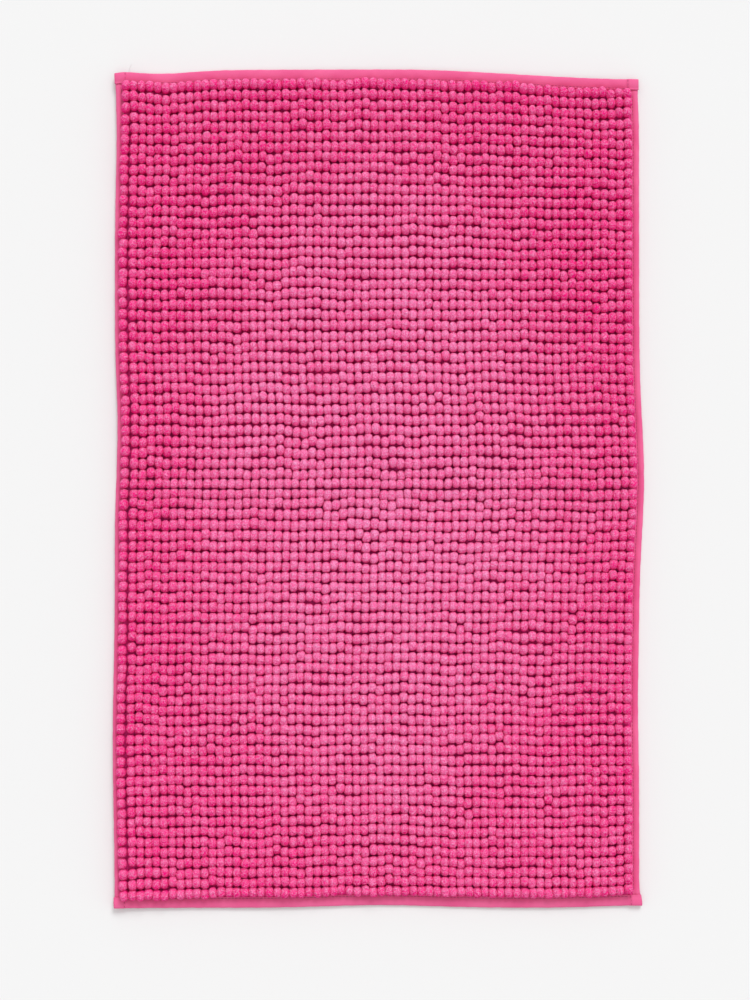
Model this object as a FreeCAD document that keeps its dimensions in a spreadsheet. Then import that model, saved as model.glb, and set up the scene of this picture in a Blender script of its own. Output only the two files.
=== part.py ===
"""A rectangular bobble bath mat, as a parametric document.

The mat lies flat with its underside at Z = 0, its width along X and its length along Y. It has a woven base
cloth with a non-slip coating beneath it, rows of chenille bobbles on top, a cloth tape bound round all four edges
and the thread that holds the tape. It folds once across the middle, at Y = 0, so every piece that crosses the fold
is made in two halves, the front half towards -Y and the rear half towards +Y. The halves stand a crease gap apart,
so that the mat can bend a little towards its pile as well as fold right over onto its underside.
"""

import FreeCAD
import Part
import Sketcher
import os

# Driving dimensions in millimetres, and counts. Each is written here once and nowhere else.
SIZES = {
    "mat_width": 500.0,
    "mat_length": 800.0,
    "coating_thickness": 0.9,
    "cloth_thickness": 1.2,
    "tape_thickness": 0.9,
    "side_flange": 7.5,
    "end_flange": 11.0,
    "yarn_count": 64,
    "yarns_per_strip": 4,
    "front_rows": 40,
    "rear_rows": 39,
    "pile_height": 12.0,
    "leg_width": 2.4,
    "leg_height": 3.4,
    "bobble_rise": 4.2,
    "bobble_bevel": 2.0,
    "yarn_gap": 0.35,
    "crease_gap": 0.8,
    "fold_gap": 2.4,
    "flange_gap": 0.3,
    "end_overhang": 2.2,
    "stitch_length": 2.6,
    "stitch_pitch": 3.4,
    "thread_width": 0.6,
    "thread_rise": 0.35,
    "seam_inset": 1.8,
    "corner_inset": 9.6,
    "corner_stitches": 3,
}

# Sizes that follow from the driving dimensions, as expressions on the sheet.
HALF_WIDTH = "(sizes.mat_width / 2)"
HALF_LENGTH = "(sizes.mat_length / 2)"
CLOTH_TOP = "(sizes.coating_thickness + sizes.cloth_thickness)"
TAPE_TOP = f"({CLOTH_TOP} + sizes.tape_thickness)"
FIRST_YARN = f"({HALF_WIDTH} - sizes.side_flange - sizes.flange_gap - sizes.leg_width / 2)"
YARN_PITCH = f"(2 * {FIRST_YARN} / (sizes.yarn_count - 1))"
HALF_BOBBLE = f"(({YARN_PITCH} - sizes.yarn_gap) / 2)"
PILE_LENGTH = f"({HALF_LENGTH} - sizes.end_flange + sizes.end_overhang - sizes.fold_gap / 2)"
LEG_LENGTH = f"({PILE_LENGTH} - sizes.end_overhang - sizes.flange_gap)"
CREASE_EDGE = "(sizes.crease_gap / 2)"
SIDE_TAPE_END = f"({HALF_LENGTH} - sizes.end_flange)"
SIDE_TAPE_LENGTH = f"({SIDE_TAPE_END} - {CREASE_EDGE})"
SIDE_SEAM = f"({HALF_WIDTH} - sizes.side_flange + sizes.seam_inset)"
END_SEAM = f"({HALF_LENGTH} - sizes.end_flange + sizes.seam_inset)"

ORIGIN = (-1, 1)
X_AXIS = -1
Y_AXIS = -2


def new_document():
    """A document whose sheet holds every driving dimension under its own alias."""
    document = FreeCAD.newDocument("bath_mat")
    sheet = document.addObject("Spreadsheet::Sheet", "sizes")
    for row, (name, value) in enumerate(SIZES.items(), start=1):
        sheet.set(f"A{row}", name)
        sheet.set(f"B{row}", str(value))
        sheet.setAlias(f"B{row}", name)
    document.recompute()
    return document


def bind(item, values):
    """Ties properties of an object to expressions on the sheet."""
    for name, expression in values.items():
        item.setExpression(name, expression)


def new_body(document, name, x="0", y="0", z="0", turned=False):
    """An empty body with its place bound to the sheet, half turned about Z where it faces the other way."""
    body = document.addObject("PartDesign::Body", name)
    body.Label = name
    body.AllowCompound = True
    half_turn = FreeCAD.Rotation(FreeCAD.Vector(0, 0, 1), 180 if turned else 0)
    body.Placement = FreeCAD.Placement(FreeCAD.Vector(0, 0, 0), half_turn)
    bind(body, {"Placement.Base.x": x, "Placement.Base.y": y, "Placement.Base.z": z})
    return body


def origin_feature(body, role):
    return next(item for item in body.Origin.OriginFeatures if item.Role == role)


def new_sketch(body, name, plane, height=None):
    """A sketch on one of the body's origin planes, or above it by an expression."""
    sketch = body.newObject("Sketcher::SketchObject", name)
    sketch.AttachmentSupport = [(origin_feature(body, plane), "")]
    sketch.MapMode = "FlatFace"
    if height is not None:
        bind(sketch, {"AttachmentOffset.Base.z": height})
    return sketch


def pin_point(sketch, point, x, y):
    """Fixes a sketch point at two expressions, counted from the sketch's origin."""
    for kind, value, axis in (("DistanceX", x, Y_AXIS), ("DistanceY", y, X_AXIS)):
        if value == "0":
            sketch.addConstraint(Sketcher.Constraint("PointOnObject", *point, axis))
        else:
            index = sketch.addConstraint(Sketcher.Constraint(kind, *ORIGIN, *point, 1.0))
            sketch.setExpression(f"Constraints[{index}]", value)


def draw_outline(sketch, corners):
    """A closed run of straight lines through corners, each pinned by its two expressions."""
    first = sketch.GeometryCount
    count = len(corners)
    for index in range(count):
        start = FreeCAD.Vector(index, index * index, 0)
        end = FreeCAD.Vector(index + 1, (index + 1) ** 2, 0)
        sketch.addGeometry(Part.LineSegment(start, end))
    for index in range(count):
        line = first + index
        following = first + (index + 1) % count
        sketch.addConstraint(Sketcher.Constraint("Coincident", line, 2, following, 1))
        pin_point(sketch, (line, 1), *corners[index])


def draw_rectangle(sketch, left, right, low, high):
    draw_outline(sketch, [(left, low), (right, low), (right, high), (left, high)])


def draw_bobble(sketch, pitch):
    """A bobble seen from the side: straight up from the leg at both necks, and one arc over the top."""
    length = SIZES["mat_length"] / (SIZES["front_rows"] + SIZES["rear_rows"])
    low = SIZES["leg_height"]
    top = SIZES["pile_height"]
    neck = top - SIZES["bobble_rise"]
    foot_start = FreeCAD.Vector(0, low, 0)
    foot_end = FreeCAD.Vector(length, low, 0)
    neck_start = FreeCAD.Vector(0, neck, 0)
    neck_end = FreeCAD.Vector(length, neck, 0)
    sketch.addGeometry(Part.LineSegment(foot_start, foot_end))
    sketch.addGeometry(Part.LineSegment(foot_end, neck_end))
    sketch.addGeometry(Part.Arc(neck_end, FreeCAD.Vector(length / 2, top, 0), neck_start))
    sketch.addGeometry(Part.LineSegment(neck_start, foot_start))
    sketch.addConstraint(Sketcher.Constraint("Coincident", 0, 2, 1, 1))
    sketch.addConstraint(Sketcher.Constraint("Coincident", 1, 2, 2, 1))
    sketch.addConstraint(Sketcher.Constraint("Coincident", 2, 2, 3, 1))
    sketch.addConstraint(Sketcher.Constraint("Coincident", 3, 2, 0, 1))
    neck_height = "sizes.pile_height - sizes.bobble_rise"
    pin_point(sketch, (0, 1), "0", "sizes.leg_height")
    pin_point(sketch, (0, 2), pitch, "sizes.leg_height")
    pin_point(sketch, (2, 1), pitch, neck_height)
    pin_point(sketch, (2, 2), "0", neck_height)
    rise = "sizes.bobble_rise"
    radius = f"(({pitch} / 2)^2 + {rise}^2) / (2 * {rise})"
    index = sketch.addConstraint(Sketcher.Constraint("DistanceY", *ORIGIN, 2, 3, low))
    sketch.setExpression(f"Constraints[{index}]", f"sizes.pile_height - {radius}")


def add_pad(body, name, sketch, length, both_sides=False):
    """Thickens a sketch by an expression."""
    pad = body.newObject("PartDesign::Pad", name)
    pad.Profile = sketch
    pad.Midplane = both_sides
    bind(pad, {"Length": length})
    return pad


def add_cut(body, name, sketch, length, both_sides=False):
    """Cuts a sketch through the body for a length given by an expression."""
    cut = body.newObject("PartDesign::Pocket", name)
    cut.Profile = sketch
    cut.Midplane = both_sides
    bind(cut, {"Length": length})
    return cut


def add_pattern(body, name, originals, axis, count, pitch):
    """Repeats features along one of the body's axes; both the count and the pitch are expressions."""
    pattern = body.newObject("PartDesign::LinearPattern", name)
    pattern.Originals = originals
    pattern.Direction = (origin_feature(body, axis), [""])
    pattern.Mode = "Spacing"
    bind(pattern, {"Occurrences": count, "Offset": pitch})
    body.Tip = pattern
    return pattern


def draw_bevel(sketch, side):
    """The corner taken off a yarn's top along one side, as a triangle. side is 1 or -1."""
    edge = f"{side} * {HALF_BOBBLE}"
    draw_outline(sketch, [
        (edge, "sizes.pile_height"),
        (f"{side} * ({HALF_BOBBLE} - sizes.bobble_bevel)", "sizes.pile_height"),
        (edge, "sizes.pile_height - sizes.bobble_bevel"),
    ])


def make_cloth(document, name, y):
    """Half of the woven base cloth. It reaches into the tape on its three outer sides."""
    cloth = document.addObject("Part::Box", name)
    cloth.Label = name
    bind(cloth, {
        "Length": "sizes.mat_width - 2 * sizes.tape_thickness",
        "Width": f"{HALF_LENGTH} - sizes.tape_thickness - {CREASE_EDGE}",
        "Height": "sizes.cloth_thickness",
        "Placement.Base.x": f"-{HALF_WIDTH} + sizes.tape_thickness",
        "Placement.Base.y": y,
        "Placement.Base.z": "sizes.coating_thickness",
    })
    return cloth


def make_coating(document, name, y):
    """Half of the non-slip coating, which fills the underside within the tape."""
    coating = document.addObject("Part::Box", name)
    coating.Label = name
    bind(coating, {
        "Length": "sizes.mat_width - 2 * sizes.side_flange",
        "Width": SIDE_TAPE_LENGTH,
        "Height": "sizes.coating_thickness",
        "Placement.Base.x": f"-{HALF_WIDTH} + sizes.side_flange",
        "Placement.Base.y": y,
        "Placement.Base.z": "0",
    })
    return coating


def make_side_tape(document, name, right, rear):
    """Half of a side tape: a channel round the cloth's edge, from the fold to the end tape."""
    sign = "" if rear else "-"
    y = f"{sign}{CREASE_EDGE if right == rear else SIDE_TAPE_END}"
    body = new_body(document, name, x=HALF_WIDTH if right else f"-{HALF_WIDTH}", y=y, turned=right)
    section = new_sketch(body, f"{name}_section", "XZ_Plane")
    draw_outline(section, [
        ("0", "0"),
        ("sizes.side_flange", "0"),
        ("sizes.side_flange", "sizes.coating_thickness"),
        ("sizes.tape_thickness", "sizes.coating_thickness"),
        ("sizes.tape_thickness", CLOTH_TOP),
        ("sizes.side_flange", CLOTH_TOP),
        ("sizes.side_flange", TAPE_TOP),
        ("0", TAPE_TOP),
    ])
    add_pad(body, f"{name}_pad", section, SIDE_TAPE_LENGTH)
    return body


def make_end_tape(document, name, rear):
    """An end tape, over the full width: a channel round the cloth's end, folded shut at both corners."""
    end = HALF_LENGTH if rear else f"-{HALF_LENGTH}"
    body = new_body(document, name, y=end, turned=rear)
    outside = new_sketch(body, f"{name}_outside", "YZ_Plane")
    draw_rectangle(outside, "0", "sizes.end_flange", "0", TAPE_TOP)
    add_pad(body, f"{name}_block", outside, "sizes.mat_width", both_sides=True)
    inside = new_sketch(body, f"{name}_inside", "YZ_Plane")
    draw_rectangle(inside, "sizes.tape_thickness", "sizes.end_flange", "sizes.coating_thickness", CLOTH_TOP)
    add_cut(body, f"{name}_mouth", inside, "sizes.mat_width - 2 * sizes.tape_thickness", both_sides=True)
    return body


def make_stitches(document, name, x, y, count, along="Y_Axis", turned=False):
    """A row of stitches lying on the tape, from x, y along one axis, or back along it where it is turned."""
    body = new_body(document, name, x=x, y=y, z=TAPE_TOP, turned=turned)
    stitch = new_sketch(body, f"{name}_stitch", "XY_Plane")
    across = ("-sizes.thread_width / 2", "sizes.thread_width / 2")
    lengthwise = ("0", "sizes.stitch_length")
    sides = across + lengthwise if along == "Y_Axis" else lengthwise + across
    draw_rectangle(stitch, *sides)
    first = add_pad(body, f"{name}_first", stitch, "sizes.thread_rise")
    add_pattern(body, f"{name}_row", [first], along, count, "sizes.stitch_pitch")
    return body


def make_strip(document, name, rows, x, y, turned):
    """A strip of chenille yarns side by side. Each is one string of bobbles standing on a narrow leg.

    A yarn runs along Y from the fold. Its bobbles are rounded over the top and bevelled along both sides.
    """
    body = new_body(document, name, x=x, y=y, z=CLOTH_TOP, turned=turned)
    pitch = f"({PILE_LENGTH} / {rows})"
    side_view = new_sketch(body, f"{name}_side_view", "YZ_Plane")
    draw_bobble(side_view, pitch)
    bobble = add_pad(body, f"{name}_bobble", side_view, f"2 * {HALF_BOBBLE}", both_sides=True)
    add_pattern(body, f"{name}_bobbles", [bobble], "Y_Axis", rows, pitch)
    bevels = new_sketch(body, f"{name}_bevels", "XZ_Plane")
    draw_bevel(bevels, side=1)
    draw_bevel(bevels, side=-1)
    add_cut(body, f"{name}_bevelled", bevels, PILE_LENGTH)
    leg_outline = new_sketch(body, f"{name}_leg_outline", "XY_Plane")
    draw_rectangle(leg_outline, "-sizes.leg_width / 2", "sizes.leg_width / 2", "0", LEG_LENGTH)
    leg = add_pad(body, f"{name}_leg", leg_outline, "sizes.leg_height")
    yarns = add_pattern(body, f"{name}_yarns", [], "X_Axis", "sizes.yarns_per_strip", YARN_PITCH)
    yarns.TransformMode = "Whole shape"
    yarns.BaseFeature = leg
    return body


def copy_strip(document, name, strip, x):
    """Another strip of the same yarns, beside the first."""
    body = document.addObject("PartDesign::Body", name)
    body.Label = name
    body.AllowCompound = True
    body.Placement = strip.Placement
    bind(body, {
        "Placement.Base.x": x,
        "Placement.Base.y": f"{strip.Name}.Placement.Base.y",
        "Placement.Base.z": f"{strip.Name}.Placement.Base.z",
    })
    copied = document.addObject("PartDesign::FeatureBase", f"{name}_copy")
    body.Group = [copied]
    copied.BaseFeature = strip
    body.Tip = copied
    return body


def write_parts(document, parts):
    """Writes each part's solid under its own name, once every object in the document is sound."""
    document.recompute()
    for item in document.Objects:
        faults = {"Invalid", "Error"} & set(item.State)
        if faults:
            raise RuntimeError(f"{item.Label} is {', '.join(sorted(faults))}")
    for part in parts:
        if part.Shape.isNull() or not part.Shape.isValid():
            raise RuntimeError(f"{part.Label} has no sound shape")
    os.makedirs("parts", exist_ok=True)
    for part in parts:
        part.Shape.exportStep(f"parts/{part.Label}.step")


document = new_document()
parts = []

# The flat layers, in two halves that meet at the fold.
parts.append(make_cloth(document, "base_cloth_front", f"-{HALF_LENGTH} + sizes.tape_thickness"))
parts.append(make_cloth(document, "base_cloth_rear", CREASE_EDGE))
parts.append(make_coating(document, "non_slip_coating_front", f"-{SIDE_TAPE_END}"))
parts.append(make_coating(document, "non_slip_coating_rear", CREASE_EDGE))

# The tape round the edge. The end tapes cover the side tapes' ends at the corners.
for side in ("left", "right"):
    for half in ("front", "rear"):
        parts.append(make_side_tape(document, f"side_tape_{side}_{half}", side == "right", half == "rear"))
for half in ("front", "rear"):
    parts.append(make_end_tape(document, f"end_tape_{half}", half == "rear"))

# The thread that holds the tape, and the short row across each folded corner.
stitch_gap = "(sizes.stitch_pitch - sizes.stitch_length)"
side_start = f"({CREASE_EDGE} + {stitch_gap} / 2)"
side_count = f"floor({SIDE_TAPE_LENGTH} / sizes.stitch_pitch) - 1"
end_count = "(floor((sizes.mat_width - 2 * sizes.corner_inset) / sizes.stitch_pitch) - 1)"
end_start = f"-({end_count} * sizes.stitch_pitch - {stitch_gap}) / 2"
corner_run = "((sizes.corner_stitches - 1) * sizes.stitch_pitch + sizes.stitch_length)"
corner_start = f"({HALF_LENGTH} - (sizes.end_flange - {corner_run}) / 2)"
corner_count = "sizes.corner_stitches"
for side, sign in (("left", "-"), ("right", "")):
    seam = f"{sign}{SIDE_SEAM}"
    corner = f"{sign}({HALF_WIDTH} - sizes.corner_inset)"
    for half, end in (("front", "-"), ("rear", "")):
        in_front = half == "front"
        side_name = f"side_seam_{side}_{half}"
        corner_name = f"corner_seam_{side}_{half}"
        start = f"{end}{side_start}"
        outer = f"{end}{corner_start}"
        parts.append(make_stitches(document, side_name, seam, start, side_count, turned=in_front))
        parts.append(make_stitches(document, corner_name, corner, outer, corner_count, turned=not in_front))
parts.append(make_stitches(document, "end_seam_front", end_start, f"-{END_SEAM}", end_count, along="X_Axis"))
parts.append(make_stitches(document, "end_seam_rear", end_start, END_SEAM, end_count, along="X_Axis"))

# The pile. Strips are numbered from the left; each half's first strip is drawn and the others are copies of it.
yarns_per_strip = SIZES["yarns_per_strip"]
for half, rows in (("front", "sizes.front_rows"), ("rear", "sizes.rear_rows")):
    strip = None
    for index in range(SIZES["yarn_count"] // yarns_per_strip):
        first = index * yarns_per_strip + (yarns_per_strip - 1 if half == "front" else 0)
        x = f"{first} * {YARN_PITCH} - {FIRST_YARN}"
        name = f"chenille_yarns_{half}_{index + 1:02d}"
        if strip is None:
            y = "-sizes.fold_gap / 2" if half == "front" else "sizes.fold_gap / 2"
            strip = make_strip(document, name, rows, x, y, turned=half == "front")
            parts.append(strip)
        else:
            parts.append(copy_strip(document, name, strip, x))

write_parts(document, parts)
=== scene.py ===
"""A bobble bath mat: base cloth, non-slip coating, chenille pile, bound edges and their stitching."""

import math

import bmesh
import bpy
import numpy as np
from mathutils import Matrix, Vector


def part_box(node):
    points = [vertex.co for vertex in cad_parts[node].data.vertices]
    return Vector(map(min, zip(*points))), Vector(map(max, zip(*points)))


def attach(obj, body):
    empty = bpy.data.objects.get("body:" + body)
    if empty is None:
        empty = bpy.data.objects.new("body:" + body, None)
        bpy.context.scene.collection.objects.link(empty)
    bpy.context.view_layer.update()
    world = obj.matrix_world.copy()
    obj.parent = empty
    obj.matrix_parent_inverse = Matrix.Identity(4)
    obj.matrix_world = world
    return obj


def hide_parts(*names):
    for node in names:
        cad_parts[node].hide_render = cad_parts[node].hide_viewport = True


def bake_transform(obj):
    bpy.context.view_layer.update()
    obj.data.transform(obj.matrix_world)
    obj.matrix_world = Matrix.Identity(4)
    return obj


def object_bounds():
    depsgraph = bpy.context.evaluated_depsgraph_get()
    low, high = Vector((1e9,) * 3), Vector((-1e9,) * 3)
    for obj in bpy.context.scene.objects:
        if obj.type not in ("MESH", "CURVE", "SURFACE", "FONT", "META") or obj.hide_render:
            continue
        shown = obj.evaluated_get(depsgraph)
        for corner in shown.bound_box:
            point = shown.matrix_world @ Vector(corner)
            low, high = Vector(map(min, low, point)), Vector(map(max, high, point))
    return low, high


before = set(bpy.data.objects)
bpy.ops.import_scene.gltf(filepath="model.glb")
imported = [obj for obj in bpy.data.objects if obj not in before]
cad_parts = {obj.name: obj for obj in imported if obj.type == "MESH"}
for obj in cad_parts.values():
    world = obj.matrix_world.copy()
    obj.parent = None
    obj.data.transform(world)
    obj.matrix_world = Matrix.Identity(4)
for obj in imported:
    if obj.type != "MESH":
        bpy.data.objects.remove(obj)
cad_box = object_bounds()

# Base cloth: one piece of plain-woven polyester, dyed to match the pile. The yarns are tufted through it,
# and it shows only where the bobbles part, along the crease left by folding the mat in half. It runs on
# into the edge tape.

MM = 0.001
cloth_low, cloth_high = (np.array(corner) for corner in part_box("base_cloth_front"))
cloth_top = cloth_high[2]
half_width = cad_box[1][0]
half_length = cad_box[1][1]
CREASE_REACH = 11 * MM
RIDGE_REACH = 12 * MM
CLOTH_STEPS = 60
FLOOR_WAVES = 0.7


def bump(distance, spread):
    """A smooth hill of height 1, as wide each way as spread."""
    return np.exp(-(distance / spread) ** 2)


def ease(share):
    """0 to 1 with a soft start and finish."""
    share = np.clip(share, 0, 1)
    return share * share * (3 - 2 * share)


def lay_down(points):
    """Moves points of the straight, flat mat to where they lie on the floor, once it has been unfolded.

    Its sides wander by a few millimetres, the rear end runs a little askew, and the rim lifts off the floor
    in places. Amounts are in millimetres, and places and spreads in metres.
    """
    x, y, z = points.T
    across, along = x / half_width, y / half_length
    left_side = (-0.5 + 1.7 * bump(y - 0.340, 0.060) + 2.6 * bump(y - 0.060, 0.055)
                 - 2.0 * bump(y + 0.240, 0.090))
    right_side = (-1.3 + 4.8 * bump(y - 0.010, 0.075) - 1.0 * bump(y + 0.205, 0.050)
                  - 1.8 * bump(y - 0.400, 0.030) + 2.0 * bump(y + 0.400, 0.013))
    rear_end = (-0.7 - 1.1 * bump(x + 0.250, 0.060) - 3.0 * bump(x + 0.205, 0.040)
                - 9.5 * ease((x - 0.020) / 0.230) - 2.2 * bump(x + 0.254, 0.011))
    front_end = 1.1 + 2.4 * bump(x, 0.070) + 2.4 * bump(x - 0.260, 0.060)
    opened = ease((x + 0.080) / 0.260)
    from_crease = y / CREASE_REACH
    closing = (2.0 - 0.8 * opened) * from_crease * np.exp(1 - np.abs(from_crease))
    ridge = (0.2 + 0.4 * opened) * bump(y, RIDGE_REACH)
    spread = 2 * y / RIDGE_REACH ** 2 * ridge * z
    move_x = (left_side * (1 - across) + right_side * (1 + across)) / 2
    move_y = np.where(y > 0, rear_end, front_end) * along ** 2 - closing + spread
    rim_left = 3.0 * bump(x + half_width, 0.022) * (0.75 + 0.25 * np.sin(y * 17 + 1.0))
    rim_right = 1.2 * bump(x - half_width, 0.018) * (0.5 + 0.5 * np.sin(y * 13))
    rim_front = 1.6 * bump(y + half_length, 0.022) * (0.12 + 0.88 * bump(x + 0.215, 0.035))
    rim_rear = 2.6 * bump(y - half_length, 0.020) * (0.5 + 0.5 * np.sin(x * 9 - 0.4))
    waves = FLOOR_WAVES * (1 + np.sin(x * 21 + y * 6)) * (1 - across ** 2)
    lift = (rim_left + rim_right + rim_front + rim_rear + waves) * (1 - bump(y, 0.030)) + ridge
    return np.column_stack((x + move_x * MM, y + move_y * MM, z + lift * MM))


def slab(name, low, high, steps_x, lines_y):
    """A closed sheet of even thickness between two corners, with a line of vertices at each of lines_y."""
    lines_x = np.linspace(low[0], high[0], steps_x + 1)
    across, along = np.meshgrid(lines_x, lines_y, indexing="ij")
    columns, rows = across.shape
    flat = np.column_stack((across.ravel(), along.ravel()))
    below = np.column_stack((flat, np.full(len(flat), low[2])))
    above = np.column_stack((flat, np.full(len(flat), high[2])))
    count = len(flat)
    index = np.arange(count).reshape(columns, rows)
    faces = []
    for i in range(columns - 1):
        for j in range(rows - 1):
            a, b, c, d = index[i, j], index[i + 1, j], index[i + 1, j + 1], index[i, j + 1]
            faces.append((count + a, count + b, count + c, count + d))
            faces.append((d, c, b, a))
    rim = [*index[:, 0], *index[-1, 1:], *index[-2::-1, -1], *index[0, -2:0:-1]]
    for a, b in zip(rim, rim[1:] + rim[:1]):
        faces.append((a, b, count + b, count + a))
    mesh = bpy.data.meshes.new(name)
    mesh.from_pydata(lay_down(np.vstack((below, above))), [], [tuple(map(int, face)) for face in faces])
    piece = bpy.data.objects.new(name, mesh)
    bpy.context.scene.collection.objects.link(piece)
    return piece


def fold_lines(low, high, coarse):
    """Places along Y from low to high, close together where the mat folds."""
    near = np.arange(-10, 11) * MM
    front = np.linspace(low, near[0], coarse, endpoint=False)
    rear = np.linspace(high, near[-1], coarse, endpoint=False)[::-1]
    return np.concatenate((front, near, rear))


class Wire:
    """One output of a node. A sum written on it adds the Math nodes that work it out."""

    def __init__(self, tree, socket):
        self.tree, self.socket = tree, socket

    @classmethod
    def node(cls, tree, kind, settings=None, inputs=None, output=0):
        """Adds a node: its settings first, then a value or a wire for each of its sockets."""
        made = tree.nodes.new(kind)
        for name, value in (settings or {}).items():
            setattr(made, name, value)
        for key, value in (inputs or {}).items():
            if isinstance(value, Wire):
                tree.links.new(value.socket, made.inputs[key])
            else:
                made.inputs[key].default_value = value
        return cls(tree, None if output is None else made.outputs[output])

    def sum(self, operation, first, second):
        return Wire.node(self.tree, "ShaderNodeMath", {"operation": operation}, {0: first, 1: second})

    def __add__(self, other):
        return self.sum("ADD", self, other)

    def __radd__(self, other):
        return self.sum("ADD", other, self)

    def __sub__(self, other):
        return self.sum("SUBTRACT", self, other)

    def __rsub__(self, other):
        return self.sum("SUBTRACT", other, self)

    def __mul__(self, other):
        return self.sum("MULTIPLY", self, other)

    def __rmul__(self, other):
        return self.sum("MULTIPLY", other, self)

    def __truediv__(self, other):
        return self.sum("DIVIDE", self, other)

    def wave(self):
        return Wire.node(self.tree, "ShaderNodeMath", {"operation": "SINE"}, {0: self})

    def size(self):
        return Wire.node(self.tree, "ShaderNodeMath", {"operation": "ABSOLUTE"}, {0: self})

    def between(self, low, high):
        """0 below low, 1 above high, and smooth from one to the other."""
        settings = {"interpolation_type": "SMOOTHSTEP"}
        inputs = {"Value": self, "From Min": low, "From Max": high}
        return Wire.node(self.tree, "ShaderNodeMapRange", settings, inputs)

    def parts(self):
        """The X, Y and Z of a vector."""
        split = Wire.node(self.tree, "ShaderNodeSeparateXYZ", {}, {0: self})
        return [Wire(self.tree, output) for output in split.socket.node.outputs]


def new_material(name):
    """An empty material and its Principled shader."""
    material = bpy.data.materials.new(name)
    material.use_nodes = True
    return material, material.node_tree, material.node_tree.nodes["Principled BSDF"]


def link(tree, wire, shader, socket):
    tree.links.new(wire.socket, shader.inputs[socket])


def blend_colours(share, first, second):
    """A colour from first to second by share."""
    settings = {"data_type": "RGBA"}
    return Wire.node(share.tree, "ShaderNodeMix", settings, {0: share, 6: first, 7: second}, output=2)


def place_on_piece(tree):
    """The three coordinates of the point that is shaded, in metres."""
    return Wire.node(tree, "ShaderNodeTexCoord", output="Object")


def noise(tree, place, scale, detail=2.0):
    return Wire.node(tree, "ShaderNodeTexNoise", {}, {"Vector": place, "Scale": scale, "Detail": detail})


def raise_surface(tree, height, depth, shader, strength=1.0):
    inputs = {"Height": height, "Distance": depth, "Strength": strength}
    link(tree, Wire.node(tree, "ShaderNodeBump", {}, inputs, output="Normal"), shader, "Normal")


def plain_weave(name, dark, light, thread, roughness):
    """Over-and-under threads, thread metres apart, slightly uneven in colour."""
    material, tree, shader = new_material(name)
    place = place_on_piece(tree)
    x, y, _ = place.parts()
    turns = math.pi / thread
    weave = (x * turns).wave() * (y * turns).wave() * 0.5 + 0.5
    uneven = noise(tree, place, 60.0, 4.0)
    link(tree, blend_colours(weave * 0.6 + uneven * 0.4, dark, light), shader, "Base Color")
    link(tree, weave * -0.1 + roughness, shader, "Roughness")
    raise_surface(tree, weave, thread / 3, shader)
    return material


cloth = slab("base_cloth", cloth_low, (cloth_high[0], -cloth_low[1], cloth_top), CLOTH_STEPS,
             fold_lines(cloth_low[1], -cloth_low[1], CLOTH_STEPS))
CLOTH_PINK, CLOTH_PALE = (0.88, 0.010, 0.26, 1), (0.98, 0.06, 0.42, 1)
CLOTH_THREAD = 0.9 * MM
cloth.data.materials.append(plain_weave("dyed weave", CLOTH_PINK, CLOTH_PALE, CLOTH_THREAD, roughness=0.9))
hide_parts("base_cloth_front", "base_cloth_rear")
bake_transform(cloth)

# Non-slip coating: a skin of off-white latex spread over the back of the cloth and dried there. It locks
# the yarns in, grips the floor, and stops at the edge tape. Its surface is slightly lumpy where it sank
# between the threads.

LATEX_STAINED, LATEX_CLEAN = (0.62, 0.52, 0.50, 1), (0.80, 0.74, 0.71, 1)
PIMPLE_HEIGHT = 0.3 * MM
coat_low, coat_high = (np.array(corner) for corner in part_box("non_slip_coating_front"))
coating = slab("non_slip_coating", coat_low, (coat_high[0], -coat_low[1], coat_high[2]), CLOTH_STEPS,
               fold_lines(coat_low[1], -coat_low[1], CLOTH_STEPS))


def latex():
    """Matt latex with drying marks and fine pimples."""
    material, tree, shader = new_material("latex")
    place = place_on_piece(tree)
    marks = noise(tree, place, 35.0, 5.0)
    pimples = noise(tree, place, 900.0, 1.0)
    link(tree, blend_colours(marks, LATEX_STAINED, LATEX_CLEAN), shader, "Base Color")
    link(tree, marks * 0.2 + 0.55, shader, "Roughness")
    raise_surface(tree, pimples + marks, PIMPLE_HEIGHT, shader)
    return material


coating.data.materials.append(latex())
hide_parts("non_slip_coating_front", "non_slip_coating_rear")
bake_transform(coating)

# Chenille pile: each yarn is a thick, fuzzy microfibre chenille, tufted lengthwise through the base cloth
# in short fat loops, so that it stands up as a string of bobbles. Neighbouring loops crowd each other, lean,
# and drift out of line.

YARNS_PER_STRIP = 4
PILE_HEIGHT = 12.0 * MM
BOBBLE_SIDES = 12
# Tops run from deep to pale: the pale end carries the fibres' own tone, and also painted highlight, glints
# and nap shading.
TOP_DEEP, TOP_PALE = (0.93, 0.003, 0.205, 1), (1.0, 0.420, 0.720, 1)
# Feet and flanks: a deeper magenta, painted shade of the gaps between bobbles. The parted colours are the
# plain pink the sides show where the fold opens them to light.
FOOT_GAP_SHADE, FLANK_GAP_SHADE = (0.99, 0.003, 0.380, 1), (0.97, 0.010, 0.260, 1)
PARTED_FOOT, PARTED_FLANK = (0.72, 0.014, 0.160, 1), (0.78, 0.030, 0.200, 1)
SHEEN_PINK = (1.0, 0.20, 0.55, 1)
FIBRE_HEIGHT = 1.0 * MM
OWN_DRIFT, SHARED_DRIFT = 1.7 * MM, 1.8 * MM
ROW_JITTER, YARN_JITTER = 0.4 * MM, 0.12 * MM
LUMP_DEPTH = 1.8 * MM
# Heights above the cloth as a share of the bobble's own, and the share of its width there.
BOBBLE_RINGS = [(0.96, 0.47), (0.83, 0.80), (0.62, 1.0), (0.40, 0.97), (0.18, 0.80), (-0.02, 0.60)]


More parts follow.
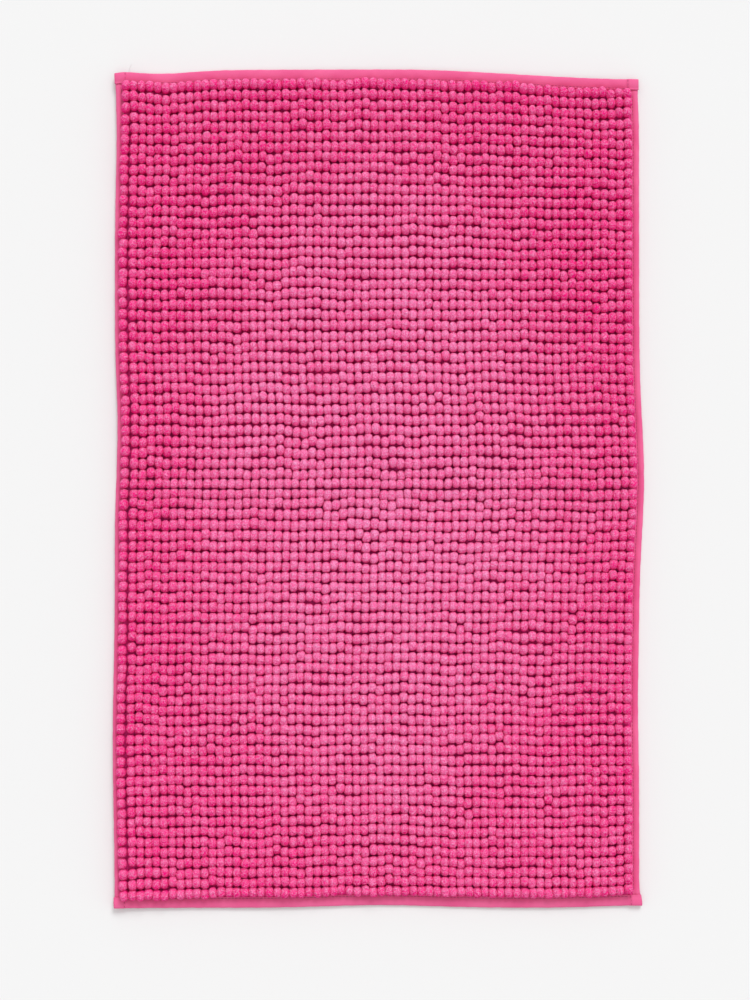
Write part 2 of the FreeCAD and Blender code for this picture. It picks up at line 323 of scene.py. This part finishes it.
def bobble(width, length, height, outline):
    """A single loop standing on the cloth: a bulb that narrows to its two legs, closed below.

    outline shapes it from above: 2 makes an oval, and more than that squares it off.
    """
    turns = np.linspace(0, 2 * math.pi, BOBBLE_SIDES, endpoint=False) + math.pi / BOBBLE_SIDES
    x = np.sign(np.cos(turns)) * np.abs(np.cos(turns)) ** (2 / outline) * width / 2
    y = np.sign(np.sin(turns)) * np.abs(np.sin(turns)) ** (2 / outline) * length / 2
    points = [(0, 0, height)]
    for level, share in BOBBLE_RINGS:
        points += [(px * share, py * share, level * height) for px, py in zip(x, y)]
    points.append((0, 0, BOBBLE_RINGS[-1][0] * height))
    last = len(points) - 1
    faces = []
    for side in range(BOBBLE_SIDES):
        following = (side + 1) % BOBBLE_SIDES
        faces.append((0, 1 + side, 1 + following))
        for ring in range(len(BOBBLE_RINGS) - 1):
            upper, lower = 1 + ring * BOBBLE_SIDES, 1 + (ring + 1) * BOBBLE_SIDES
            faces.append((upper + side, lower + side, lower + following, upper + following))
        foot = 1 + (len(BOBBLE_RINGS) - 1) * BOBBLE_SIDES
        faces.append((foot + side, last, foot + following))
    mesh = bpy.data.meshes.new("bobble")
    mesh.from_pydata(points, [], faces)
    return bpy.data.objects.new("bobble", mesh)


def chenille():
    """Microfibre pile: pale fibre tips over a deeper pink, mottled, and no two bobbles quite the same shade.

    The pale speckle also holds painted fibre glints. The middle of the mat and broad patches are paler as
    painted nap shading, and the rear side of each bobble is paler as a painted highlight. The sides are a
    deeper magenta, painted shade of the gaps between bobbles, and plain pink where the mat folds and they
    come to light.
    """
    material, tree, shader = new_material("chenille")
    place = place_on_piece(tree)
    x, y, _ = place.parts()
    within = Wire.node(tree, "ShaderNodeAttribute", {"attribute_name": "within"}, output="Vector")
    _, rearward, level = within.parts()
    shade = Wire.node(tree, "ShaderNodeAttribute", {"attribute_name": "shade"}, output="Fac")
    parted = Wire.node(tree, "ShaderNodeAttribute", {"attribute_name": "parted"}, output="Fac")
    # Fine pale speckle: the fibres' own mottled tone, with painted fibre glints.
    tips_and_glints = noise(tree, place, 820.0, 2.5).between(0.38, 0.66)
    tufts = noise(tree, place, 380.0, 1.0).between(0.34, 0.66)
    # Paler broad patches: painted nap shading where the pile leans.
    painted_nap_patches = noise(tree, place, 7.0, 3.0).between(0.35, 0.70)
    # Paler middle of the mat: painted nap shading.
    middle = 1 - (x * x * 14 + y * y * 4).between(0.0, 0.75)
    # rearward paints a highlight on the rear side of each bobble, the side towards the key light.
    paleness = (tips_and_glints * 0.46 + tufts * 0.12 + painted_nap_patches * 0.06 + middle * 0.24 + shade * 0.12 + rearward * 0.32
                - 0.08)
    top = blend_colours(paleness, TOP_DEEP, TOP_PALE)
    # The sides take the painted gap shade, and plain pink near the fold where they are parted.
    foot = blend_colours(parted, FOOT_GAP_SHADE, PARTED_FOOT)
    flank = blend_colours(parted, FLANK_GAP_SHADE, PARTED_FLANK)
    # Lower on each bobble, the painted gap shade takes over from the top colour.
    sides = blend_colours(level.between(0.15, 0.45), foot, flank)
    colour = blend_colours(level.between(0.35, 0.97), sides, top)
    link(tree, colour, shader, "Base Color")
    shader.inputs["Roughness"].default_value = 0.95
    shader.inputs["Specular IOR Level"].default_value = 0.05
    shader.inputs["Sheen Weight"].default_value = 0.05
    shader.inputs["Sheen Roughness"].default_value = 0.45
    shader.inputs["Sheen Tint"].default_value = SHEEN_PINK
    raise_surface(tree, tips_and_glints * 0.6 + tufts, FIBRE_HEIGHT, shader, strength=0.9)
    return material


def new_tree(name, inputs):
    """An empty tree of geometry nodes, the identifiers of its inputs, and a wire from each input."""
    tree = bpy.data.node_groups.new(name, "GeometryNodeTree")
    sockets = {}
    for label, kind in inputs.items():
        socket = tree.interface.new_socket(label, in_out="INPUT", socket_type=f"NodeSocket{kind}")
        sockets[label] = socket.identifier
    tree.interface.new_socket("Geometry", in_out="OUTPUT", socket_type="NodeSocketGeometry")
    start = tree.nodes.new("NodeGroupInput")
    return tree, sockets, {label: Wire(tree, start.outputs[label]) for label in sockets}


def pile_tree():
    """Geometry nodes that stand one strip's bobbles on the cloth."""
    tree, sockets, given = new_tree("pile strip", {
        "Bobble": "Object", "Material": "Material", "Middle": "Vector", "Yarns": "Int", "Rows": "Int",
        "Yarn Pitch": "Float", "Row Pitch": "Float", "Half Length": "Float", "Half Width": "Float",
        "Lean": "Float", "Seed": "Int"})

    def node(kind, settings=None, inputs=None, output=0):
        return Wire.node(tree, kind, settings, inputs, output)

    def vector(x, y, z):
        return node("ShaderNodeCombineXYZ", {}, {0: x, 1: y, 2: z})

    def drift(x_scale, y_scale, level):
        """-1 to 1, the same for bobbles that stand close together on the scales given in metres."""
        spot = node("ShaderNodeCombineXYZ", {}, {0: x / x_scale, 1: y / y_scale, 2: level})
        return noise(tree, spot, 1.0, 1.0) * 4 - 2

    def chance(low, high, offset):
        inputs = {2: low, 3: high, "Seed": given["Seed"] + offset}
        return node("FunctionNodeRandomValue", {"data_type": "FLOAT"}, inputs, output=1)

    size_x = (given["Yarns"] - 1) * given["Yarn Pitch"]
    size_y = (given["Rows"] - 1) * given["Row Pitch"]
    grid = node("GeometryNodeMeshGrid", {}, {0: size_x, 1: size_y, 2: given["Yarns"], 3: given["Rows"]})
    points = node("GeometryNodeSetPosition", {}, {"Geometry": grid, "Offset": given["Middle"]})
    place = node("GeometryNodeInputPosition")
    x, y, _ = place.parts()
    side = x / given["Half Width"]
    left = 0 - side
    rearward = y / given["Half Length"]
    forward = 0 - rearward
    end = rearward.size()
    corner_free = 1 - end.between(0.88, 0.97)
    beside_fold = 1 - y.size().between(0.006, 0.012)
    free = (1 - end.between(0.95, 0.99) * 0.5) * (1 - beside_fold * 0.35)
    own_line = drift(0.0021, 0.055, 3.0)
    shared_line = drift(0.045, 0.090, 8.0)
    shift_y = (own_line * OWN_DRIFT + shared_line * SHARED_DRIFT) * free
    shift_y = shift_y + chance(-ROW_JITTER, ROW_JITTER, 1) - y * 0.006
    corner = end.between(0.93, 0.985) * side.size().between(0.90, 0.97)
    shift_y = shift_y + given["Lean"] * 6 * MM - corner * rearward * 1.4 * MM
    outer = side.size().between(0.93, 0.985)
    outer_left = left.between(0.93, 0.985)
    shift_x = drift(0.030, 0.012, 14.0) * 0.35 * MM + chance(-YARN_JITTER, YARN_JITTER, 2) - x * 0.0115
    shift_x = shift_x - left.between(0.1, 1.0) * 1.5 * MM - outer_left * corner_free * 1.5 * MM
    shift = vector(shift_x, shift_y, 0.0)
    points = node("GeometryNodeSetPosition", {}, {"Geometry": points, "Offset": shift})
    edge = outer * (side * 2).between(-0.5, 0.5) * 2 - outer
    lean_x = chance(-0.10, 0.10, 3) + drift(0.06, 0.05, 20.0) * 0.06 + given["Lean"]
    lean_x = lean_x + forward.between(0.86, 0.98) * (left.between(0.45, 0.95) * 0.30 + 0.02)
    lean_x = lean_x - rearward.between(0.86, 0.98) * 0.16
    lean_y = chance(-0.04, 0.04, 4) + edge * chance(0.0, 0.12, 5)
    lean_y = lean_y + outer_left * (rearward.between(0.75, 0.95) * 0.22 - 0.10)
    turn = vector(lean_x, lean_y, chance(-0.14, 0.14, 6))
    height = chance(0.93, 1.04, 7)
    scale = vector(chance(0.95, 1.06, 8), chance(0.96, 1.05, 9) + beside_fold * 0.15, height)
    shape = node("GeometryNodeObjectInfo", {}, {"Object": given["Bobble"]}, output="Geometry")
    # Each bobble's own place, kept as "within", which the chenille material reads to paint the rear-side
    # highlight and the gap shade.
    within = node("ShaderNodeVectorMath", {"operation": "SCALE"}, {0: place, "Scale": 1 / PILE_HEIGHT})
    settings = {"data_type": "FLOAT_VECTOR", "domain": "POINT"}
    inputs = {"Geometry": shape, "Name": "within", "Value": within}
    shape = node("GeometryNodeStoreNamedAttribute", settings, inputs)
    inputs = {"Points": points, "Instance": shape, "Rotation": turn, "Scale": scale}
    pile = node("GeometryNodeInstanceOnPoints", {}, inputs)
    settings = {"data_type": "FLOAT", "domain": "INSTANCE"}
    for name, value in (("shade", chance(0.0, 1.0, 10)), ("parted", 1 - y.size().between(0.018, 0.032))):
        inputs = {"Geometry": pile, "Name": name, "Value": value}
        pile = node("GeometryNodeStoreNamedAttribute", settings, inputs)
    pile = node("GeometryNodeRealizeInstances", {}, {0: pile})
    spot = node("ShaderNodeVectorMath", {"operation": "SCALE"}, {0: place, "Scale": 230.0})
    lumps = node("ShaderNodeTexNoise", {}, {"Vector": spot, "Scale": 1.0, "Detail": 1.0}, output="Color")
    lumps = node("ShaderNodeVectorMath", {"operation": "SUBTRACT"}, {0: lumps, 1: (0.5, 0.5, 0.5)})
    lumps = node("ShaderNodeVectorMath", {"operation": "SCALE"}, {0: lumps, "Scale": LUMP_DEPTH})
    pile = node("GeometryNodeSetPosition", {}, {"Geometry": pile, "Offset": lumps})
    pile = node("GeometryNodeSetMaterial", {}, {"Geometry": pile, "Material": given["Material"]})
    pile = node("GeometryNodeSetShadeSmooth", {}, {0: pile})
    node("NodeGroupOutput", {}, {0: pile}, output=None)
    return tree, sockets


def grow(name, tree, sockets, values):
    """The mesh that a tree makes from these values, laid on the floor, as a plain object."""
    holder = bpy.data.objects.new(name, bpy.data.meshes.new(f"{name}_empty"))
    bpy.context.scene.collection.objects.link(holder)
    modifier = holder.modifiers.new("grow", "NODES")
    modifier.node_group = tree
    for socket, value in values.items():
        modifier[sockets[socket]] = value
    bpy.context.view_layer.update()
    shaped = holder.evaluated_get(bpy.context.evaluated_depsgraph_get())
    mesh = bpy.data.meshes.new_from_object(shaped)
    holder.modifiers.clear()
    bpy.data.objects.remove(holder)
    points = np.empty(len(mesh.vertices) * 3)
    mesh.vertices.foreach_get("co", points)
    mesh.vertices.foreach_set("co", lay_down(points.reshape(-1, 3)).ravel())
    mesh.name = name
    piece = bpy.data.objects.new(name, mesh)
    bpy.context.scene.collection.objects.link(piece)
    return piece


strips = {half: sorted(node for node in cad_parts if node.startswith(f"chenille_yarns_{half}"))
          for half in ("front", "rear")}
ROWS = {"front": 40, "rear": 39}
LEANS = {"front": 0.0, "rear": -0.12}
low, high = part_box(strips["rear"][0])
next_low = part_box(strips["rear"][1])[0]
yarn_pitch = (next_low[0] - low[0]) / YARNS_PER_STRIP
loops = {
    "front": bobble(width=1.16 * yarn_pitch, length=10.25 * MM, height=PILE_HEIGHT, outline=2.35),
    "rear": bobble(width=1.18 * yarn_pitch, length=10.6 * MM, height=PILE_HEIGHT, outline=2.05),
}
fuzz = chenille()
pile_nodes, pile_sockets = pile_tree()
for half, nodes in strips.items():
    for number, node in enumerate(nodes):
        low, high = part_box(node)
        strip = grow(f"{node}_pile", pile_nodes, pile_sockets, {
            "Bobble": loops[half],
            "Material": fuzz,
            "Middle": ((low[0] + high[0]) / 2, (low[1] + high[1]) / 2, cloth_top),
            "Yarns": YARNS_PER_STRIP,
            "Rows": ROWS[half],
            "Yarn Pitch": yarn_pitch,
            "Row Pitch": (high[1] - low[1]) / ROWS[half],
            "Half Length": half_length,
            "Half Width": half_width,
            "Lean": LEANS[half],
            "Seed": number * 17 + (500 if half == "rear" else 0),
        })
        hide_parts(node)
        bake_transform(strip)
for loop in loops.values():
    bpy.data.objects.remove(loop)

# Side tapes: a strip of smooth woven tape along each side, folded round the edge of the cloth so that it
# grips the top and the underside. It puffs up a little between its fold and its seam, and puckers where the
# thread pulls it down.

TAPE_THICKNESS = 0.9 * MM
SEAM_INSET = 1.8 * MM
STITCH_PITCH = 3.4 * MM
PUFF = 0.62 * MM
TURNED_UNDER = 1.1 * MM
END_DEPTH = 0.6 * MM
EDGE_RIPPLE = 0.12 * MM
STITCH_PULL, EDGE_CURL = 0.30 * MM, 0.22 * MM
RIB_WIDTH = 0.45 * MM
BEND_STEPS = FLAT_STEPS = 9
TAPE_PINK, TAPE_RUBBED = (0.70, 0.060, 0.220, 1), (0.84, 0.160, 0.345, 1)
tape_top = cloth_top + TAPE_THICKNESS
side_flange = coat_low[0] + half_width
end_flange = coat_low[1] + half_length


def add_piece(name, points, faces):
    """A smooth closed piece from its points and faces, with every face pointing outwards."""
    mesh = bpy.data.meshes.new(name)
    mesh.from_pydata(points, [], faces)
    shell = bmesh.new()
    shell.from_mesh(mesh)
    bmesh.ops.recalc_face_normals(shell, faces=shell.faces)
    shell.to_mesh(mesh)
    shell.free()
    mesh.shade_smooth()
    piece = bpy.data.objects.new(name, mesh)
    bpy.context.scene.collection.objects.link(piece)
    return piece


def ripple(along, seed, length):
    """A smooth uneven wave between about -1 and 1, whose swells are roughly length long."""
    draw = np.random.default_rng(seed)
    total = np.zeros_like(along)
    for share in (1.0, 0.61, 0.37):
        total += 0.45 * np.sin(2 * math.pi * (along / (length * share) + draw.random()))
    return total


def fold_tape(name, flange, stations, place, seed, squeeze=None, thicken=None):
    """A tape folded round the edge of the cloth.

    place turns insets from the edge, distances along it and heights into points. squeeze and thicken are
    shares, one for each station: squeeze flattens the tape there, and thicken raises its top. A tape that is
    thickened also has its ends turned in, across the gap between its top and its underside.
    """
    middle = tape_top / 2
    seam = flange - SEAM_INSET
    turn = np.linspace(0.5, 1.5, BEND_STEPS) * math.pi
    flat = np.linspace(flange, middle, FLAT_STEPS + 1)[:-1]
    inset = np.concatenate((flat, middle + middle * np.cos(turn), flat[::-1]))
    height = np.concatenate((np.full(FLAT_STEPS, tape_top), middle + middle * np.sin(turn),
                             np.zeros(FLAT_STEPS)))
    bend = (cloth_top - coat_high[2]) / 2
    inner_inset = np.concatenate((flat, middle + bend * np.cos(turn), flat[::-1]))
    inner_height = np.concatenate((np.full(FLAT_STEPS, cloth_top), middle + bend * np.sin(turn),
                                   np.full(FLAT_STEPS, coat_high[2])))
    inset[0] = inset[-1] = flange - 0.25 * MM
    across = np.concatenate((inset, inner_inset[::-1]))
    upright = np.concatenate((height, inner_height[::-1]))
    count, ring = len(stations), len(across)
    along = np.repeat(stations[:, None], ring, axis=1)
    across = np.repeat(across[None, :], count, axis=0)
    upright = np.repeat(upright[None, :], count, axis=0)
    on_top = upright > middle + bend / 2
    puff = PUFF * np.sin(math.pi * np.clip(across / seam, 0, 1)) * (1 + 0.35 * ripple(along, seed, 0.046))
    stitch = 0.5 + 0.5 * np.cos(2 * math.pi * along / STITCH_PITCH)
    pull = STITCH_PULL * bump(across - seam, 0.9 * MM) * (0.55 + 0.45 * stitch)
    curl = EDGE_CURL * ease((across - seam - 0.6 * MM) / SEAM_INSET) * (1 - 0.5 * stitch)
    raised = np.where(on_top, puff - pull + curl, 0)
    edge = EDGE_RIPPLE * ripple(along, seed + 1, 0.030) * (1 - ease(across / (2 * MM)))
    if thicken is not None:
        raised += np.where(on_top, TURNED_UNDER * thicken[:, None], 0)
    upright = upright + raised
    if squeeze is not None:
        upright = middle + (upright - middle) * (1 - 0.45 * squeeze[:, None])
    spots = place(across + edge, along, upright)
    points = lay_down(np.column_stack([axis.ravel() for axis in spots]))
    faces = []
    for i in range(count - 1):
        for j in range(ring):
            a, b = i * ring + j, i * ring + (j + 1) % ring
            faces.append((a, b, b + ring, a + ring))
    for i in (0, count - 1):
        for j in range(ring // 2 - 1):
            a, b = i * ring + j, i * ring + ring - 1 - j
            faces.append((a, a + 1, b - 1, b))
    if thicken is not None:
        side_count = ring // 2
        for first, outward in ((0, -1), ((count - 1) * ring, 1)):
            outline = points[first:first + side_count]
            rounded = outline.mean(axis=0) + (outline - outline.mean(axis=0)) * (1, 0.94, 0.70)
            base = len(points)
            points = np.vstack((points, outline, rounded + (outward * END_DEPTH, 0, 0)))
            faces.append(tuple(range(base, base + side_count)))
            faces.append(tuple(range(base + side_count, base + 2 * side_count)))
            for a in range(side_count):
                b = (a + 1) % side_count
                faces.append((base + a, base + b, base + side_count + b, base + side_count + a))
    return add_piece(name, points, faces)


def woven_tape():
    """Closely woven tape: fine ribs across a soft, slightly shiny ground, paler where it is rubbed."""
    material, tree, shader = new_material("woven tape")
    place = place_on_piece(tree)
    x, y, _ = place.parts()
    twill = ((x + y) * (math.pi / RIB_WIDTH)).wave() * 0.5 + 0.5
    threads = noise(tree, place, 1400.0, 2.0)
    rubbed = noise(tree, place, 26.0, 4.0).between(0.35, 0.70)
    paleness = twill * 0.18 + threads * 0.35 + rubbed * 0.40
    link(tree, blend_colours(paleness, TAPE_PINK, TAPE_RUBBED), shader, "Base Color")
    link(tree, rubbed * 0.15 + 0.55, shader, "Roughness")
    shader.inputs["Specular IOR Level"].default_value = 0.25
    shader.inputs["Sheen Weight"].default_value = 0.10
    shader.inputs["Sheen Tint"].default_value = (1.0, 0.6, 0.75, 1)
    raise_surface(tree, twill * 0.5 + threads, 0.15 * MM, shader, 0.6)
    return material


tape_cloth = woven_tape()
side_reach = half_length - 1.4 * MM
side_stations = fold_lines(-side_reach, side_reach, 235)
tucked = ease((np.abs(side_stations) - (half_length - end_flange - 1.5 * MM)) / (2 * MM))
fold_width = math.pi * (tape_top - TAPE_THICKNESS) / 2 - tape_top
developed = 2 * side_flange + fold_width
for side, sign in (("left", -1), ("right", 1)):
    tape = fold_tape(f"side_tape_{side}", side_flange, side_stations,
                     lambda inset, along, height: (sign * (half_width - inset), along, height),
                     seed=40 + sign, squeeze=tucked)
    tape.data.materials.append(tape_cloth)
    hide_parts(f"side_tape_{side}_front", f"side_tape_{side}_rear")
    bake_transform(tape)

# End tapes: the same tape across each end, over the ends of the side tapes. Its own ends are turned under,
# flush with the sides, so that each corner is a small thick square.

CORNER_SQUARE = 10.2 * MM
end_reach = half_width + 0.1 * MM
inner_reach = half_width - CORNER_SQUARE - 1.5 * MM
corner_stations = np.linspace(inner_reach, end_reach, 24)[1:]
middle_stations = np.linspace(-inner_reach, inner_reach, 280)
end_stations = np.concatenate((-corner_stations[::-1], middle_stations, corner_stations))
from_side = half_width - np.abs(end_stations)
corner_seam = half_width - np.mean(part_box("corner_seam_right_rear"), axis=0)[0]
seam_groove = 0.5 * bump(from_side - corner_seam, 0.8 * MM)
turned_under = (1 - ease((from_side - CORNER_SQUARE) / (0.7 * MM))) * (1 - seam_groove)
developed = 2 * end_flange + fold_width
for half, sign in (("front", -1), ("rear", 1)):
    tape = fold_tape(f"end_tape_{half}_bound", end_flange, end_stations,
                     lambda inset, along, height: (along, sign * (half_length - inset), height),
                     seed=60 + sign, thicken=turned_under)
    tape.data.materials.append(tape_cloth)
    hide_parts(f"end_tape_{half}")
    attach(tape, f"{half}_half")

# Seams: twisted polyester thread in straight lockstitch, just inside the inner edge of each tape, with a
# short row across each turned corner. Each stitch is a small raised bar that dips into the tape at both ends.


THREAD_RADIUS = 0.29 * MM
LOOSE_RADIUS = 0.24 * MM
STITCH_LENGTH = 2.7 * MM
TWIST_PITCH = 0.55 * MM
THREAD_DARK, THREAD_LIGHT = (0.34, 0.012, 0.090, 1), (0.66, 0.060, 0.220, 1)
CORNER_LIFT = 1.15 * MM
LOOSE_THREAD = [(-0.2385, 0.3940, 0.0040), (-0.2380, 0.3985, 0.0035), (-0.2370, 0.4020, 0.0012),
                (-0.2352, 0.4055, 0.0004)]


def stitch_shape(length):
    """One stitch along Y, from its middle, with its ends below the surface."""
    sides = 6
    shares = np.linspace(0, 1, 6)
    points = []
    for share in shares:
        turn = np.linspace(0, 2 * math.pi, sides, endpoint=False) + 1.1 * share
        swell = THREAD_RADIUS * (0.75 + 0.25 * math.sin(math.pi * share))
        middle = 0.34 * MM * math.sin(math.pi * share) - 0.22 * MM
        points += [(swell * math.cos(a), (share - 0.5) * length, middle + swell * math.sin(a)) for a in turn]
    faces = [tuple(range(sides)), tuple(range(len(points) - 1, len(points) - 1 - sides, -1))]
    for ring in range(len(shares) - 1):
        for side in range(sides):
            a, b = ring * sides + side, ring * sides + (side + 1) % sides
            faces.append((a, a + sides, b + sides, b))
    mesh = bpy.data.meshes.new("stitch")
    mesh.from_pydata(points, [], faces)
    return bpy.data.objects.new("stitch", mesh)


def seam_tree():
    """Geometry nodes that set a row of stitches, end to end, along one line."""
    tree, sockets, given = new_tree("seam", {"Stitch": "Object", "Material": "Material", "Start": "Vector",
                                             "Step": "Vector", "Count": "Int", "Turn": "Float"})
    inputs = {"Count": given["Count"], "Start Location": given["Start"], "Offset": given["Step"]}
    row = Wire.node(tree, "GeometryNodeMeshLine", {}, inputs)
    shape = Wire.node(tree, "GeometryNodeObjectInfo", {}, {"Object": given["Stitch"]}, output="Geometry")
    inputs = {2: -0.05, 3: 0.05, "Seed": 7}
    slant = Wire.node(tree, "FunctionNodeRandomValue", {"data_type": "FLOAT"}, inputs, output=1)
    turn = Wire.node(tree, "ShaderNodeCombineXYZ", {}, {2: given["Turn"] + slant})
    inputs = {"Points": row, "Instance": shape, "Rotation": turn}
    stitches = Wire.node(tree, "GeometryNodeInstanceOnPoints", {}, inputs)
    stitches = Wire.node(tree, "GeometryNodeRealizeInstances", {}, {0: stitches})
    inputs = {"Geometry": stitches, "Material": given["Material"]}
    stitches = Wire.node(tree, "GeometryNodeSetMaterial", {}, inputs)
    stitches = Wire.node(tree, "GeometryNodeSetShadeSmooth", {}, {0: stitches})
    Wire.node(tree, "NodeGroupOutput", {}, {0: stitches}, output=None)
    return tree, sockets


def twisted_thread():
    """Two-ply polyester thread, with the slant of its twist and a soft shine."""
    material, tree, shader = new_material("twisted thread")
    place = place_on_piece(tree)
    x, y, _ = place.parts()
    twist = ((x * 0.8 + y) * (2 * math.pi / TWIST_PITCH)).wave() * 0.5 + 0.5
    link(tree, blend_colours(twist, THREAD_DARK, THREAD_LIGHT), shader, "Base Color")
    link(tree, twist * 0.15 + 0.40, shader, "Roughness")
    raise_surface(tree, twist, 0.12 * MM, shader)
    return material


thread = twisted_thread()
stitch = stitch_shape(STITCH_LENGTH)
seam_nodes, seam_sockets = seam_tree()


def loose_end(points):
    """A thin thread that runs through these points, as a mesh on its own."""
    sides = 5
    path = np.array(points)
    steps = np.linspace(0, 1, 13) * (len(path) - 1)
    rings = np.column_stack([np.interp(steps, range(len(path)), axis) for axis in path.T])
    corners, faces = [], []
    for middle in rings:
        for side in range(sides):
            turn = 2 * math.pi * side / sides
            out, up = LOOSE_RADIUS * math.cos(turn), LOOSE_RADIUS * math.sin(turn)
            corners.append((middle[0] + out, middle[1], middle[2] + up))
    for ring in range(len(rings) - 1):
        for side in range(sides):
            a, b = ring * sides + side, ring * sides + (side + 1) % sides
            faces.append((a, a + sides, b + sides, b))
    faces += [tuple(range(sides)), tuple(range(len(corners) - 1, len(corners) - 1 - sides, -1))]
    mesh = bpy.data.meshes.new("loose_end")
    mesh.from_pydata(corners, [], faces)
    mesh.materials.append(thread)
    return mesh


def sew(name, replaced, axis, lift=0.0, tail=None):
    """A row of stitches where the seams it replaces are, along axis 0 or 1."""
    corners = np.array([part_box(node) for node in replaced])
    low, high = corners[:, 0].min(axis=0), corners[:, 1].max(axis=0)
    count = round((high[axis] - low[axis]) / STITCH_PITCH + 0.25)
    middle = (low + high) / 2
    step = np.zeros(3)
    step[axis] = STITCH_PITCH
    start = middle - step * (count - 1) / 2
    start[2] = low[2] + lift
    seam = grow(name, seam_nodes, seam_sockets, {
        "Stitch": stitch,
        "Material": thread,
        "Start": tuple(start),
        "Step": tuple(step),
        "Count": count,
        "Turn": math.pi / 2 if axis == 0 else 0.0,
    })
    if tail is not None:
        joined = bmesh.new()
        joined.from_mesh(seam.data)
        joined.from_mesh(tail)
        joined.to_mesh(seam.data)
        joined.free()
    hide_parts(*replaced)
    return seam


for side in ("left", "right"):
    seam = sew(f"side_seam_{side}", [f"side_seam_{side}_front", f"side_seam_{side}_rear"], axis=1)
    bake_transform(seam)
for half in ("front", "rear"):
    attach(sew(f"end_seam_{half}_stitches", [f"end_seam_{half}"], axis=0), f"{half}_half")
    for side in ("left", "right"):
        tail = loose_end(LOOSE_THREAD) if (side, half) == ("left", "rear") else None
        corner = sew(f"corner_seam_{side}_{half}_stitches", [f"corner_seam_{side}_{half}"], axis=1,
                     lift=CORNER_LIFT, tail=tail)
        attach(corner, f"{half}_half")
bpy.data.objects.remove(stitch)

# Studio: a plain pale floor under a large soft light from the rear right, with light all round. The camera
# hangs above the middle of the mat and looks straight down.

world = bpy.data.worlds.new("studio")
world.use_nodes = True
sky = world.node_tree
sky.nodes.clear()
glow = Wire.node(sky, "ShaderNodeBackground", {}, {"Color": (1, 1, 1, 1), "Strength": 0.82})
backdrop = Wire.node(sky, "ShaderNodeBackground", {}, {"Color": (0.925, 0.925, 0.925, 1), "Strength": 1.0})
seen = Wire.node(sky, "ShaderNodeLightPath", output="Is Camera Ray")
mixed = Wire.node(sky, "ShaderNodeMixShader", {}, {0: seen, 1: glow, 2: backdrop})
Wire.node(sky, "ShaderNodeOutputWorld", {}, {"Surface": mixed}, output=None)
bpy.context.scene.world = world
bpy.context.scene.view_settings.view_transform = "Standard"

FLOOR_REACH = 30.0
floor_mesh = bpy.data.meshes.new("floor")
floor_corners = [(x * FLOOR_REACH, y * FLOOR_REACH, 0) for x, y in ((-1, -1), (1, -1), (1, 1), (-1, 1))]
floor_mesh.from_pydata(floor_corners, [], [(0, 1, 2, 3)])
floor = bpy.data.objects.new("floor", floor_mesh)
bpy.context.scene.collection.objects.link(floor)
material, tree, shader = new_material("floor")
shader.inputs["Base Color"].default_value = (0.782, 0.782, 0.782, 1)
shader.inputs["Roughness"].default_value = 0.9
shader.inputs["Specular IOR Level"].default_value = 0.1
floor_mesh.materials.append(material)

key = bpy.data.lights.new("key", "SUN")
key.energy, key.angle = 1.68, math.radians(24)
lamp = bpy.data.objects.new("key", key)
bpy.context.scene.collection.objects.link(lamp)
lamp.rotation_euler = Vector((0.30, 1.0, 0.95)).to_track_quat("Z", "Y").to_euler()

camera_data = bpy.data.cameras.new("camera")
camera = bpy.data.objects.new("camera", camera_data)
bpy.context.scene.collection.objects.link(camera)
CAMERA_HEIGHT = 1.8
VIEW_HEIGHT = 0.953
camera_data.sensor_width = 36
camera_data.lens = camera_data.sensor_width * (CAMERA_HEIGHT - tape_top / 2) / VIEW_HEIGHT
camera.location = (-0.0029, -0.0105, CAMERA_HEIGHT)
bpy.context.scene.camera = camera
